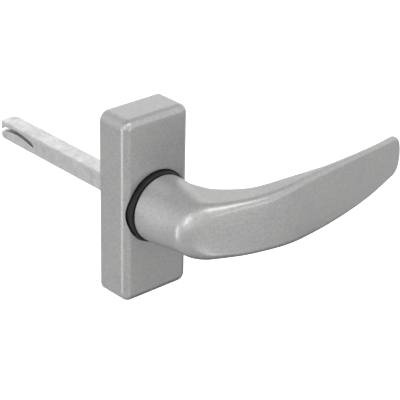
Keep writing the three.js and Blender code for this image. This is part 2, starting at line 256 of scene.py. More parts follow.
# %% [markdown]
# ## Finishes
#
# Every finish is a small tree of nodes. They all read Object coordinates, which are metres here, so a
# grain of a third of a millimetre is a noise whose scale is 3000. A helper adds one node at a time and
# joins it up, so each finish can be read from top to bottom like a recipe.

# %% Helpers for node trees


class Finish:
    """A material in the making: add() puts in a node, and shader is its surface shader."""

    def __init__(self, name, metallic, roughness):
        self.material = bpy.data.materials.new(name)
        self.material.use_nodes = True
        self.tree = self.material.node_tree
        self.shader = self.tree.nodes["Principled BSDF"]
        self.shader.inputs["Metallic"].default_value = metallic
        self.shader.inputs["Roughness"].default_value = roughness
        self.place = self.add("ShaderNodeTexCoord").outputs["Object"]

    def add(self, kind, inputs=(), **settings):
        """One node, with its settings, and with a number or another node's socket on each input."""
        node = self.tree.nodes.new(kind)
        for key, value in settings.items():
            setattr(node, key, value)
        for key, value in dict(inputs).items():
            self.join(node.inputs[key], value)
        return node

    def join(self, socket, value):
        if isinstance(value, bpy.types.NodeSocket):
            self.tree.links.new(value, socket)
        else:
            socket.default_value = value

    def stretched(self, x, y, z):
        """Object coordinates multiplied along each axis: a small factor draws a pattern out."""
        mapping = self.add("ShaderNodeMapping", {"Vector": self.place, "Scale": (x, y, z)})
        return mapping.outputs["Vector"]

    def noise(self, size_mm, detail=2.0, place=None):
        """Cloudy noise whose features are about size_mm across, from 0 to 1."""
        inputs = {"Vector": place or self.place, "Scale": 1 / (size_mm * MM), "Detail": detail}
        return self.add("ShaderNodeTexNoise", inputs).outputs["Fac"]

    def flakes(self, size_mm):
        """A different grey on each cell of a patchwork, like flakes of metal in paint."""
        inputs = {"Vector": self.place, "Scale": 1 / (size_mm * MM)}
        cells = self.add("ShaderNodeTexVoronoi", inputs, feature="F1").outputs["Color"]
        return self.add("ShaderNodeSeparateColor", {"Color": cells}).outputs["Red"]

    def ramp(self, value, low, high, to_low, to_high):
        """value between low and high, carried to between to_low and to_high, and held there outside."""
        inputs = {"Value": value, "From Min": low, "From Max": high, "To Min": to_low, "To Max": to_high}
        return self.add("ShaderNodeMapRange", inputs).outputs["Result"]

    def plus(self, a, b):
        return self.add("ShaderNodeMath", {0: a, 1: b}, operation="ADD").outputs[0]

    def blend(self, share, first, second):
        """The first colour where share is 0, and the second where it is 1."""
        mix = self.add("ShaderNodeMix", data_type="RGBA")
        self.join(mix.inputs[0], share)
        self.join(mix.inputs[6], first)
        self.join(mix.inputs[7], second)
        return mix.outputs[2]

    def relief(self, height, depth_mm, under=None):
        """Bumps of depth_mm between height 0 and 1, on top of an earlier relief."""
        inputs = {"Height": height, "Distance": depth_mm * MM, "Strength": 1.0}
        if under is not None:
            inputs["Normal"] = under
        return self.add("ShaderNodeBump", inputs).outputs["Normal"]


def grey(value, warmth=0.0):
    """A linear grey with a touch of warmth (or cold, below zero)."""
    return (value * (1 + warmth), value, value * (1 - warmth), 1.0)


print("finishes read metres, so a 0.35 mm grain has scale", round(1 / (0.35 * MM)))

# %% [markdown]
# ### Silver paint
#
# The cap and the lever are sprayed with silver paint: fine aluminium flakes in a clear, satin binder.
# A mirror-like metal would be wrong, and so would plain grey plastic. A half-metallic shader with a
# middling roughness sits between them, and a thin coat over it, smoother than the flakes, gives the
# rounded edges their narrow bright lines. Three things break up the evenness. Flakes of about 0.2 mm
# differ a little in brightness. A slow cloud more than a centimetre wide lets the paint look thicker
# and thinner. A faint orange peel about a millimetre across, with a finer sparkle on it, softens the
# reflections. Each of the two is four thousandths of a millimetre deep.


# %% Silver paint
def silver_paint():
    paint = Finish("silver_paint", metallic=0.55, roughness=0.36)
    paint.shader.inputs["Coat Weight"].default_value = 0.35
    paint.shader.inputs["Coat Roughness"].default_value = 0.18
    flakes = paint.flakes(0.22)
    coarse = paint.noise(0.8, detail=3.0)
    cloud = paint.noise(14.0, detail=2.0)
    speck = paint.plus(paint.ramp(flakes, 0.0, 1.0, -0.5, 0.5), paint.ramp(coarse, 0.3, 0.7, -0.4, 0.4))
    share = paint.ramp(speck, -0.9, 0.9, 0.0, 1.0)
    grain = paint.blend(share, grey(0.31, 0.004), grey(0.47, 0.004))
    tinted = paint.blend(paint.ramp(cloud, 0.35, 0.65, 0.0, 1.0), grey(0.97, -0.004), grey(1.0, 0.008))
    product = paint.add("ShaderNodeMix", data_type="RGBA", blend_type="MULTIPLY")
    paint.join(product.inputs[0], 1.0)
    paint.join(product.inputs[6], grain)
    paint.join(product.inputs[7], tinted)
    paint.join(paint.shader.inputs["Base Color"], product.outputs[2])
    gloss = paint.ramp(paint.plus(speck, paint.ramp(cloud, 0.3, 0.7, -0.5, 0.5)), -1.2, 1.2, 0.33, 0.43)
    paint.join(paint.shader.inputs["Roughness"], gloss)
    peel = paint.relief(paint.noise(1.3, detail=1.0), 0.004)
    sparkle = paint.relief(paint.noise(0.3, detail=2.0), 0.004, under=peel)
    paint.join(paint.shader.inputs["Normal"], sparkle)
    return paint.material


silver = silver_paint()
print("made", silver.name)

# %% [markdown]
# ### Black nylon
#
# The collar is moulded in black nylon. The mould leaves a fine, even texture, and rubbing leaves it a
# little smoother in patches, so the colour hardly changes but the roughness does.


# %% Black nylon
def black_nylon():
    nylon = Finish("black_nylon", metallic=0.0, roughness=0.45)
    nylon.shader.inputs["Specular IOR Level"].default_value = 0.3
    rubbed = nylon.noise(3.0, detail=3.0)
    colour = nylon.blend(nylon.ramp(rubbed, 0.35, 0.7, 0.0, 1.0), grey(0.006), grey(0.010, 0.02))
    nylon.join(nylon.shader.inputs["Base Color"], colour)
    nylon.join(nylon.shader.inputs["Roughness"], nylon.ramp(rubbed, 0.3, 0.7, 0.38, 0.55))
    nylon.join(nylon.shader.inputs["Normal"], nylon.relief(nylon.noise(0.12, detail=1.0), 0.006))
    return nylon.material


black = black_nylon()
print("made", black.name)

# %% [markdown]
# ### Zinc plate on drawn steel
#
# The spindle is a drawn bar. The die leaves fine lines along its length, and the bright zinc over them
# is slightly cloudy, with a crystal pattern a millimetre or two across. The lines are noise that is
# squeezed in X and Z and left long in Y. Small plated pieces use the same finish.


# %% Zinc plate
def zinc_plate():
    zinc = Finish("zinc_plate", metallic=0.85, roughness=0.36)
    lines = zinc.noise(0.16, detail=3.0, place=zinc.stretched(1.0, 0.02, 1.0))
    crystals = zinc.flakes(1.4)
    cloud = zinc.noise(4.0, detail=4.0)
    tone = zinc.plus(zinc.ramp(lines, 0.3, 0.7, -0.35, 0.35), zinc.ramp(crystals, 0.0, 1.0, -0.3, 0.3))
    tone = zinc.plus(tone, zinc.ramp(cloud, 0.3, 0.7, -0.4, 0.4))
    colour = zinc.blend(zinc.ramp(tone, -0.8, 0.8, 0.0, 1.0), grey(0.52, -0.008), grey(0.74, 0.004))
    zinc.join(zinc.shader.inputs["Base Color"], colour)
    zinc.join(zinc.shader.inputs["Roughness"], zinc.ramp(tone, -0.9, 0.9, 0.44, 0.30))
    zinc.join(zinc.shader.inputs["Normal"], zinc.relief(lines, 0.006))
    return zinc.material


zinc = zinc_plate()
print("made", zinc.name)

# %% [markdown]
# ### Raw castings, spring steel and acetal
#
# The rest is hidden until the handle is taken apart. The base plate is die-cast zinc, dull and slightly
# pitted where the metal chilled against the mould. The springs, clips and pin are hardened steel, grey
# and oiled. The cam is white acetal, which is smooth and a little waxy.


# %% Casting, spring steel and acetal
def zinc_casting():
    cast = Finish("zinc_casting", metallic=0.75, roughness=0.5)
    skin = cast.noise(0.5, detail=4.0)
    flow = cast.noise(6.0, detail=3.0)
    tone = cast.plus(cast.ramp(skin, 0.3, 0.7, -0.4, 0.4), cast.ramp(flow, 0.3, 0.7, -0.5, 0.5))
    colour = cast.blend(cast.ramp(tone, -0.8, 0.8, 0.0, 1.0), grey(0.28, -0.02), grey(0.46, -0.01))
    cast.join(cast.shader.inputs["Base Color"], colour)
    cast.join(cast.shader.inputs["Roughness"], cast.ramp(tone, -0.8, 0.8, 0.6, 0.42))
    cast.join(cast.shader.inputs["Normal"], cast.relief(skin, 0.02))
    return cast.material


def spring_steel():
    steel = Finish("spring_steel", metallic=0.95, roughness=0.32)
    streaks = steel.noise(0.3, detail=3.0, place=steel.stretched(1.0, 1.0, 0.05))
    oil = steel.noise(3.0, detail=2.0)
    tone = steel.plus(steel.ramp(streaks, 0.3, 0.7, -0.5, 0.5), steel.ramp(oil, 0.3, 0.7, -0.4, 0.4))
    colour = steel.blend(steel.ramp(tone, -0.8, 0.8, 0.0, 1.0), grey(0.13, -0.05), grey(0.24, -0.03))
    steel.join(steel.shader.inputs["Base Color"], colour)
    steel.join(steel.shader.inputs["Roughness"], steel.ramp(oil, 0.3, 0.7, 0.26, 0.42))
    steel.join(steel.shader.inputs["Normal"], steel.relief(streaks, 0.004))
    return steel.material


def white_acetal():
    acetal = Finish("white_acetal", metallic=0.0, roughness=0.4)
    flow = acetal.noise(2.5, detail=3.0)
    colour = acetal.blend(acetal.ramp(flow, 0.3, 0.7, 0.0, 1.0), grey(0.66, 0.03), grey(0.74, 0.02))
    acetal.join(acetal.shader.inputs["Base Color"], colour)
    acetal.join(acetal.shader.inputs["Roughness"], acetal.ramp(flow, 0.3, 0.7, 0.34, 0.46))
    acetal.join(acetal.shader.inputs["Normal"], acetal.relief(acetal.noise(0.2), 0.004))
    return acetal.material


casting = zinc_casting()
steel = spring_steel()
acetal = white_acetal()
print("made", casting.name, steel.name, acetal.name)

# %% [markdown]
# ## The cap
#
# The cap is a shallow box drawn from thin metal, with one round hole. Its front edge is rounded all the
# way round, and the hole is nearly as wide as the cap, so at the left and right the hole's rim runs down
# into that rounding. This is what gives the black collar its slightly angular look.
#
# A cube with a bevel and a boolean hole would leave a ragged rim just there. So the cap is one closed
# band instead: each loop goes once round the cap, and the loops run from the hole, over the front, down
# the outer wall, round the back edge, up the inner wall and back to the hole. The front is a height
# above a flat plane, taken from the distance to the outline, which makes the rounding exact everywhere.

# %% Sizes of the cap
cap_low, cap_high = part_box("cover")
CAP_HALF = np.array([cap_high.x, cap_high.z]) / MM
CAP_FRONT = cap_low.y / MM
CAP_BACK = cap_high.y / MM
CAP_CORNER = 3.4
CAP_EDGE = 2.8
CAP_WALL = 1.6
CAP_FACE = 2.0
CAP_HOLE = 13.0
RIM_ROUND = 0.3
BACK_ROUND = 0.25
ARC_POINTS = 20
STRAIGHT_POINTS = (40, 150)
print("the cap is", 2 * CAP_HALF[0], "x", 2 * CAP_HALF[1], "x", CAP_BACK - CAP_FRONT, "mm")


# %% The cap's outline and its front
def outline(half, corner):
    """Points once round an upright rectangle with round corners.

    Each quarter is an arc about (half - corner), and the straight stretches lie between the arcs.
    """
    angle = np.linspace(0, np.pi / 2, ARC_POINTS)
    inner = half - corner
    signs = [(1, 1), (-1, 1), (-1, -1), (1, -1)]
    pieces = []
    for quarter, (sx, sz) in enumerate(signs):
        turn = angle + quarter * np.pi / 2
        arc = corner * np.stack([np.cos(turn), np.sin(turn)], axis=1)
        pieces.append(np.array([sx, sz]) * inner + arc)
        run = np.linspace(0, 1, STRAIGHT_POINTS[quarter % 2] + 2)[1:-1, None]
        nx, nz = signs[(quarter + 1) % 4]
        leave = pieces[-1][-1]
        turn_end = (quarter + 1) * np.pi / 2
        end_direction = np.array([math.cos(turn_end), math.sin(turn_end)])
        arrive = np.array([nx, nz]) * inner + corner * end_direction
        pieces.append(leave * (1 - run) + arrive * run)
    return np.concatenate(pieces)


def depth_inside(points, half, corner):
    """How far a point is inside the outline: corner less its distance from the rectangle inside."""
    q = np.abs(points) - half + corner
    outside = np.hypot(*np.moveaxis(np.maximum(q, 0), -1, 0))
    return corner - outside - np.minimum(q.max(axis=-1), 0)


def cap_front(points):
    """The front's y: flat, but for a quarter circle of radius CAP_EDGE along the outline."""
    short = CAP_EDGE - np.clip(depth_inside(points, CAP_HALF, CAP_CORNER), 0, CAP_EDGE)
    return CAP_FRONT + CAP_EDGE - np.sqrt(CAP_EDGE**2 - short**2)


print("points once round the cap:", len(outline(CAP_HALF, CAP_CORNER)))


# %% The cap as one band of loops
def cap_grid():
    """Loops from the hole over the front, round the outside and the back edge, and back to the hole."""
    outer = outline(CAP_HALF, CAP_CORNER)
    toward = outer / np.linalg.norm(outer, axis=1, keepdims=True)
    inner_half = CAP_HALF - CAP_WALL
    scale = 1 / (np.abs(toward) / inner_half).max(axis=1)
    inner = toward * scale[:, None]
    inner_corner = CAP_CORNER - CAP_WALL
    over = inner_corner - depth_inside(inner, inner_half, inner_corner)
    inner = inner - toward * np.maximum(over - inner_corner, 0)[:, None]
    hole = toward * CAP_HOLE
    beyond = np.linalg.norm(inner, axis=1) > CAP_HOLE
    inner = np.where(beyond[:, None], inner, hole)
    ceiling = CAP_FRONT + CAP_FACE
    rim = toward * (CAP_HOLE + RIM_ROUND)
    rim_y = cap_front(rim)
    loops = []

    def loop(plan, y):
        loops.append(np.stack([plan[:, 0], np.broadcast_to(y, len(plan)), plan[:, 1]], axis=1))

    for y in np.linspace(0, 1, 4)[:-1]:
        loop(hole, ceiling + (rim_y + RIM_ROUND - ceiling) * y)
    for a in np.linspace(0, np.pi / 2, 5)[:-1]:
        loop(hole + (rim - hole) * (1 - math.cos(a)), rim_y + RIM_ROUND * (1 - math.sin(a)))
    for t in np.linspace(1, 0, 64):
        plan = outer + (rim - outer) * (1 - math.cos(t * np.pi / 2))
        loop(plan, cap_front(plan))
    for y in np.linspace(0, 1, 12)[1:]:
        loop(outer, CAP_FRONT + CAP_EDGE + (CAP_BACK - BACK_ROUND - CAP_FRONT - CAP_EDGE) * y)
    for a in np.linspace(0, np.pi / 2, 4)[1:]:
        loop(outer - toward * BACK_ROUND * (1 - math.cos(a)), CAP_BACK - BACK_ROUND * (1 - math.sin(a)))
    for y in np.linspace(0, 1, 6):
        loop(inner, CAP_BACK + (ceiling - CAP_BACK) * y)
    for t in (0.3, 0.6, 0.85):
        loop(inner + (hole - inner) * t, ceiling)
    return np.array(loops) * MM


cap = loops_piece("cover_cap", cap_grid(), sharp_degrees=35)
cap.data.materials.append(silver)
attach(cap, "cap")
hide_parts("cover")

# %% [markdown]
# ## The collar
#
# The collar is a turned shape: a wide flange in front, and a sleeve that lines the base plate's bore.
# Its profile is a list of corners, each with a small radius of its own, and the profile is carried round
# the spindle's axis. A perfectly sharp corner never catches the light, but a moulded one does.

# %% Collar
collar_low, collar_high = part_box("collar_bush")
COLLAR_FRONT = collar_low.y / MM
COLLAR_BACK = collar_high.y / MM
COLLAR_R = collar_high.x / MM
BORE_R = 7.7
SLEEVE_R = 9.0
FLANGE_BACK = -11.1


def collar_grid():
    """The collar's profile, corner by corner as (radius, y), turned about the spindle's axis."""
    corners = [
        (BORE_R, COLLAR_FRONT),
        (COLLAR_R, COLLAR_FRONT),
        (COLLAR_R, FLANGE_BACK),
        (SLEEVE_R, FLANGE_BACK),
        (SLEEVE_R, COLLAR_BACK),
        (BORE_R, COLLAR_BACK),
    ]
    return turned(rounded_corners(corners, [0.2, 0.5, 0.3, 0.2, 0.3, 0.2]), columns=160) * MM


collar = loops_piece("collar", collar_grid())
collar.data.materials.append(black)
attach(collar, "rosette")
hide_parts("collar_bush")

# %% [markdown]
# ## The lever
#
# The lever is one casting: a round journal and a squared end that turn inside the rosette, a round
# neck, a tight elbow, and a long curved blade that thins towards a blunt tip. Where these meet, the
# metal flows from one into the other with a radius of its own. Subdivision would make it look like
# clay, and a bevel can't follow a radius that changes.
#
# So the lever is described the way a pattern maker would: as a solid between surfaces. For any point in
# space, four functions say how far it lies outside the front face, the back, the outline and the neck.
# They are combined with a minimum for adding and a maximum for cutting, and both have a rounded form
# that leaves a fillet. Rays then start on the lever's own centre line and walk outwards until they
# leave the solid, and the points where they come out are the grid.

# %% The lever's lines, in millimetres
_, lever_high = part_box("lever")
TIP = lever_high.x / MM
BOSS_BACK = lever_high.y / MM
NOSE_R = 10.3
NECK_FOOT = -15.8
NECK_R = 12.1
JOURNAL_R = 7.6
FRONT_LINE = [(-10.7, -38.2), (-3, -42.0), (6, -45.3), (15, -48.0), (27, -49.46), (42, -48.2)]
FRONT_LINE += [(60, -45.9), (78, -42.6), (TIP, -37.9)]
BACK_LINE = [(0, -32), (15, -37.0), (20, -38.8), (25, -40.2), (30, -41.2), (35, -42.0), (42, -42.8)]
BACK_LINE += [(50, -43.0), (60, -42.1), (70, -40.7), (80, -38.7), (90, -35.9), (TIP, -34.4)]
HALF_HEIGHT_LINE = [(0, 10.3), (18, 10.7), (38, 11.7), (60, 10.9), (78, 9.5), (89.5, 8.2), (TIP, 7.7)]
CROWN = 0.65
NOSE_CROWN = 2.0
ELBOW_FILLET = 13.0
NECK_FILLET = 1.8
TIP_ROUND = 3.2
SOCKET_HALF = 3.8
SOCKET_FLOOR = -27.3
BOSS_HALF = 5.2
BOSS_FRONT = -6.9
GROOVE_R = 5.9
GROOVE_FRONT = -3.35
GROOVE_BACK = -2.35
print(f"the lever reaches {TIP:.1f} mm from the axis, and its boss ends at y = {BOSS_BACK:.1f}")

# %% [markdown]
# The rounded minimum and maximum need care where two surfaces run together, because they push the
# result out there by about four tenths of the radius. So each radius fades to nothing as the point
# comes near the place where the two surfaces touch.
#
# The front face is not flat. It is crowned across its width, slightly along the blade and strongly at
# the nose. Its edge is rounded by 3.8 mm at the nose, by 2.4 mm at the elbow and by 1.2 mm at the tip.

# %% The lever as a solid


def round_union(a, b, radius):
    """The smaller of two distances, with a concave fillet: a circle where both are under the radius."""
    fillet = np.hypot(np.maximum(radius - a, 0), np.maximum(radius - b, 0))
    return np.maximum(radius, np.minimum(a, b)) - fillet


def round_cut(a, b, radius):
    """The larger of two distances, with a rounded edge: a circle where both are above -radius."""
    edge = np.hypot(np.maximum(radius + a, 0), np.maximum(radius + b, 0))
    return np.minimum(-radius, np.maximum(a, b)) + edge


def soft_least(a, b, width):
    """The smaller of two, less a small parabola where they are within the width of each other."""
    near = np.maximum(width - np.abs(a - b), 0) / width
    return np.minimum(a, b) - near * near * width / 4


def off_line(x, knots):
    """A line's height at x, and the cosine of its slope, which turns a height into a distance."""
    height = smooth_line(x, knots)
    slope = (smooth_line(x + 0.05, knots) - height) / 0.05
    return height, 1 / np.hypot(1, slope)


def outside_lever(p):
    """How far points lie outside the lever, in millimetres, and below zero inside it."""
    x, y, z = p[..., 0], p[..., 1], p[..., 2]
    half, lean = off_line(np.maximum(x, 0), HALF_HEIGHT_LINE)
    across = np.minimum(np.abs(z) / half, 1.3)
    front_y, front_lean = off_line(x, FRONT_LINE)
    back_y, back_lean = off_line(x, BACK_LINE)
    crown = CROWN + NOSE_CROWN * smooth_step((4 - x) / 14)
    beyond_front = (front_y + crown * across**2 - y) * front_lean
    beyond_back = (y - back_y - CROWN * (1 - across**2)) * back_lean
    beyond_side = np.where(x < 0, np.hypot(x, z) - NOSE_R, (np.abs(z) - half) * lean)
    middle = (front_y + back_y) / 2
    beyond_tip = x - TIP + 1.2 * (z / 7) ** 2 + 0.25 * ((y - middle) / 2) ** 2
    outline = round_cut(beyond_side, beyond_tip, TIP_ROUND)
    taper = smooth_step((NECK_FOOT - y) / 20)
    neck = np.hypot(x, z) - NECK_R + (NECK_R - NOSE_R) * taper
    neck_or_outline = soft_least(neck, outline, 0.6)
    neck_or_back = round_union(neck, beyond_back, ELBOW_FILLET)
    body = round_cut(neck_or_outline, neck_or_back, NECK_FILLET * smooth_step(neck / 3) + 1e-6)
    edge = 2.4 - 1.2 * smooth_step((x - 18) / 60) + 1.4 * smooth_step((12 - x) / 16)
    return round_cut(body, beyond_front, edge)


print("the tip's middle is", round(float(outside_lever(np.array([TIP, -36.2, 0.0]))), 3), "mm outside")


# %% [markdown]
# The rays start on a centre line that rises along the neck, turns the elbow like a fan about a hinge
# line inside the bend, and then runs down the middle of the blade. Each ring of rays is an ellipse of
# directions, wide where the lever is round and flat where it is a blade, so that the points are spread
# evenly. At the tip the rays lean forward, ring by ring, until the last one points straight ahead.


# %% Cast the rays
WALK_STEPS = 90
HALVINGS = 14
LAST_STEP = 0.05


def cast_out(start, direction):
    """Walk out by seven tenths of the distance left, then halve the last step until it is tiny."""
    inner = np.zeros(start.shape[:-1])
    for _ in range(WALK_STEPS):
        gap = -outside_lever(start + direction * inner[..., None])
        step = np.clip(gap * 0.7, 0.0, 2.0)
        step = np.where(gap < 0.004, 0.0, np.maximum(step, 0.003))
        inner = inner + step
    outer = inner + LAST_STEP
    for _ in range(HALVINGS):
        middle = (inner + outer) / 2
        inside = outside_lever(start + direction * middle[..., None]) < 0
        inner = np.where(inside, middle, inner)
        outer = np.where(inside, outer, middle)
    return start + direction * inner[..., None]


def unit(v):
    """Each vector divided by its own length."""
    return v / np.linalg.norm(v, axis=-1, keepdims=True)


COLUMNS = 168
FAN_X = 17.0
FAN_Y = -25.0
LEAN_X = 90.0
around = np.linspace(0, 2 * np.pi, COLUMNS, endpoint=False)
Z_AXIS = np.array([0.0, 0.0, 1.0])
print("rays in each ring:", COLUMNS)


def ring_rays(centre, normal, wide, tall):
    """Rays from each row's centre: direction = wide cos a along normal + tall sin a along Z."""
    direction = (
        (wide[:, None] * np.cos(around))[..., None] * normal[:, None]
        + (tall[:, None] * np.sin(around))[..., None] * Z_AXIS
    )
    return np.broadcast_to(centre[:, None], direction.shape), unit(direction)


def lever_rays():
    """Starts and directions of all rays, and the last point of the centre line.

    A ring's normal is -X along the neck, turns through the elbow, and is -Y along the blade.
    """
    rows = []
    y = np.linspace(NECK_FOOT - 0.5, FAN_Y, 18)[:-1]
    centre = np.stack([0 * y, y, 0 * y], axis=1)
    left = np.broadcast_to([-1.0, 0.0, 0.0], centre.shape)
    rows.append(ring_rays(centre, left, np.full(len(y), 11.8), np.full(len(y), 11.8)))
    turn = np.linspace(0, np.pi / 2, 128)
    normal = np.stack([-np.cos(turn), -np.sin(turn), 0 * turn], axis=1)
    reach = FAN_X + 0.5 * turn / (np.pi / 2) - 2.5 * np.sin(2 * turn)
    centre = np.array([FAN_X, FAN_Y, 0.0]) + reach[:, None] * normal
    wide = 11.8 - 6.7 * smooth_step(turn / (np.pi / 2))
    rows.append(ring_rays(centre, normal, wide, np.full(len(turn), 11.0)))
    x = np.linspace(FAN_X, LEAN_X, 110)[1:]
    middle = (smooth_line(x, FRONT_LINE) + smooth_line(x, BACK_LINE) + CROWN) / 2
    start_gap = centre[-1][1] - middle[0]
    middle = middle + start_gap * (1 - smooth_step((x - FAN_X) / 12))
    centre = np.stack([x, middle, 0 * x], axis=1)
    front = np.broadcast_to([0.0, -1.0, 0.0], centre.shape)
    wide = 5.1 - 2.9 * smooth_step((x - FAN_X) / (LEAN_X - FAN_X))
    tall = 11.0 - 3.2 * smooth_step((x - 40) / 50)
    rows.append(ring_rays(centre, front, wide, tall))
    start, across = ring_rays(centre[-1:], front[-1:], wide[-1:], tall[-1:])
    lean = np.linspace(0, np.pi / 2, 42)[1:-1, None, None]
    forward = np.array([1.0, 0.0, 0.0])
    directions = unit(across * np.cos(lean) + forward * np.sin(lean))
    rows.append((np.broadcast_to(start, directions.shape), directions))
    starts, directions = zip(*rows)
    return np.concatenate(starts), np.concatenate(directions), centre[-1]


# %% [markdown]
# Behind the neck the lever is a plain turned and squared part, so those rings are written out directly:
# the socket for the spindle, the squared end with its groove for the retaining ring, the journal, and
# the shoulder that stands just clear of the collar.


# %% Put the lever together
def squared(half):
    """The radius of a square in every direction: half its side over the larger of |cos| and |sin|."""
    return half / np.maximum(np.abs(np.cos(around)), np.abs(np.sin(around)))


def ring_at(radius, y):
    """One loop at height y, starting on the left and climbing over the top."""
    radius = np.broadcast_to(radius, around.shape)
    return np.stack([-radius * np.cos(around), np.full(COLUMNS, y), radius * np.sin(around)], axis=1)


def lever_shank():
    """Loops from the bottom of the socket out to the shoulder, each as a radius and a y."""
    socket, boss = squared(SOCKET_HALF), squared(BOSS_HALF)
    groove = np.minimum(boss, GROOVE_R)
    steps = [
        (socket, SOCKET_FLOOR),
        (socket, BOSS_BACK - 0.3),
        (socket + 0.3, BOSS_BACK),
        (boss - 0.2, BOSS_BACK),
        (boss, BOSS_BACK - 0.2),
        (boss, GROOVE_BACK),
        (groove, GROOVE_BACK),
        (groove, GROOVE_FRONT),
        (boss, GROOVE_FRONT),
        (boss, BOSS_FRONT),
        (JOURNAL_R - 0.2, BOSS_FRONT),
        (JOURNAL_R, BOSS_FRONT - 0.2),
        (JOURNAL_R, NECK_FOOT),
        (NECK_R - 0.35, NECK_FOOT),
        (NECK_R - 0.1, NECK_FOOT - 0.1),
        (NECK_R, NECK_FOOT - 0.35),
    ]
    return np.array([ring_at(radius, y) for radius, y in steps])


def lever_grid():
    """The shank's loops and then the shell's, and the point at the tip that closes them."""
    start, direction, last = lever_rays()
    shell = cast_out(start, direction)
    tip_pole = cast_out(last[None], np.array([[1.0, 0.0, 0.0]]))[0]
    return np.concatenate([lever_shank(), shell]) * MM, tip_pole * MM


lever_loops, tip_pole = lever_grid()
socket_pole = (0.0, SOCKET_FLOOR * MM, 0.0)
lever = loops_piece("lever_casting", lever_loops, ends=(socket_pole, tip_pole), sharp_degrees=50)
lever.data.materials.append(silver)
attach(lever, "handle")
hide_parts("lever")
half_height = float(np.abs(lever_loops[..., 2]).max() / MM)
print("the most it reaches above and below its middle:", round(half_height, 2), "mm")

# %% [markdown]
# ## The spindle
#
# The spindle is a square bar, seven millimetres across, and its far end is slit down the middle in a
# shallow arch. The two halves spring apart a little and grip the lock. It is drawn as a side view in
# Y and Z, the bar with its slit, and that outline is carried across in X.
#
# The edges are rounded on the way. Near each side the outline shrinks by r (1 - cos a) while X grows by
# r sin a, which is a quarter circle. Every point of the outline has its own r: moderate on the long
# edges and tiny in the slit. The far end was turned round so that it finds its hole, so over the last
# four millimetres every point also moves back along the bar as it nears a side.

# %% Spindle
spindle_low, spindle_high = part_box("square_spindle")
SPINDLE_HALF = spindle_high.z / MM
SPINDLE_FRONT = spindle_low.y / MM
SPINDLE_END = spindle_high.y / MM
SLIT_LENGTH = 21.0
SLIT_HALF = 0.75
SLIT_END_Z = -0.5
SLIT_RISE = 1.8
LOW_CORNER = 1.2
HIGH_CORNER = 1.4
MOUTH_CORNER = 0.35
ROOT_CORNER = 0.5
END_ROUND = 2.2
END_TAPER = 4.0
LONG_ROUND = 0.35
SLIT_ROUND = 0.15


def slit_middle(y):
    """The slit's centre line, raised by SLIT_RISE x 4 t (1 - t): t is 0 at its root, 1 at its mouth."""
    t = (y - SPINDLE_END + SLIT_LENGTH) / SLIT_LENGTH
    return SLIT_END_Z + SLIT_RISE * 4 * t * (1 - t)


def spindle_outline():
    """The side view as (y, z) points, and the radius of the edge at each of them."""
    h = SPINDLE_HALF
    long_run = np.linspace(SPINDLE_FRONT + 0.5, SPINDLE_END - 5, 45)
    run = np.concatenate([long_run, np.linspace(SPINDLE_END - 4.6, SPINDLE_END - 1.5, 12)])
    root = SPINDLE_END - SLIT_LENGTH
    bend = np.linspace(SPINDLE_END - 0.5, root + 0.7, 40)
    arc = np.linspace(0, np.pi / 2, 9)
    rise, turn = 1 - np.cos(arc), 1 - np.sin(arc)
    pieces, radii = [], []

    def add(y, z, radius):
        pieces.append(np.stack(np.broadcast_arrays(y, z), axis=1))
        radii.append(np.broadcast_to(radius, len(pieces[-1])))

    mouth_low = slit_middle(SPINDLE_END) - SLIT_HALF
    mouth_high = slit_middle(SPINDLE_END) + SLIT_HALF
    root_low = slit_middle(root) - SLIT_HALF
    root_high = slit_middle(root) + SLIT_HALF
    add(run, -h, LONG_ROUND)
    add(SPINDLE_END - LOW_CORNER * turn, -h + LOW_CORNER * rise, LONG_ROUND)
    add(SPINDLE_END, np.linspace(-h + LOW_CORNER + 0.2, mouth_low - 0.5, 6), LONG_ROUND)
    add(SPINDLE_END - MOUTH_CORNER * rise, mouth_low - MOUTH_CORNER * turn, SLIT_ROUND)
    add(bend, slit_middle(bend) - SLIT_HALF, SLIT_ROUND)
    add(root + ROOT_CORNER * turn, root_low + ROOT_CORNER * rise, SLIT_ROUND)
    add(root + ROOT_CORNER * rise, root_high - ROOT_CORNER * turn, SLIT_ROUND)
    add(bend[::-1], slit_middle(bend[::-1]) + SLIT_HALF, SLIT_ROUND)
    add(SPINDLE_END - MOUTH_CORNER * turn, mouth_high + MOUTH_CORNER * rise, SLIT_ROUND)
    add(SPINDLE_END, np.linspace(mouth_high + 0.5, h - HIGH_CORNER - 0.2, 4), LONG_ROUND)
    add(SPINDLE_END - HIGH_CORNER * rise, h - HIGH_CORNER * turn, LONG_ROUND)
    add(run[::-1], h, LONG_ROUND)
    add(SPINDLE_FRONT, np.linspace(h - 0.5, -h + 0.5, 6), LONG_ROUND)
    return np.concatenate(pieces), np.concatenate(radii)


def spindle_grid():
    """Loops across the bar: at angle a each point moves in by r (1 - cos a) and out in X by r sin a.

    Near the end, r grows to END_ROUND in Y and X, and the move in Y is straight back along the bar.
    """
    side, radius = spindle_outline()
    along = unit(np.roll(side, -1, axis=0) - np.roll(side, 1, axis=0))
    inward = np.stack([-along[:, 1], along[:, 0]], axis=1)
    near_end = smooth_step((side[:, 0] - SPINDLE_END + END_TAPER) / END_TAPER)
    in_y = inward[:, 0] * radius * (1 - near_end) - END_ROUND * near_end
    shift = np.stack([in_y, inward[:, 1] * radius], axis=1)
    reach = radius + (END_ROUND - radius) * near_end
    a = np.linspace(np.pi / 2, 0, 8)[:, None]
    out = SPINDLE_HALF - reach * (1 - np.sin(a))
    plan = side + shift * (1 - np.cos(a))[..., None]
    edge = np.concatenate([plan, out[..., None]], axis=2)
    far = edge[-1]
    shares = (0.9, 0.5, 0.0, -0.5, -0.9)
    middle = [np.column_stack([far[:, :2], far[:, 2] * share]) for share in shares]
    other = edge[::-1] * np.array([1.0, 1.0, -1.0])
    loops = np.concatenate([edge, np.array(middle), other])
    return loops[..., [2, 0, 1]] * MM


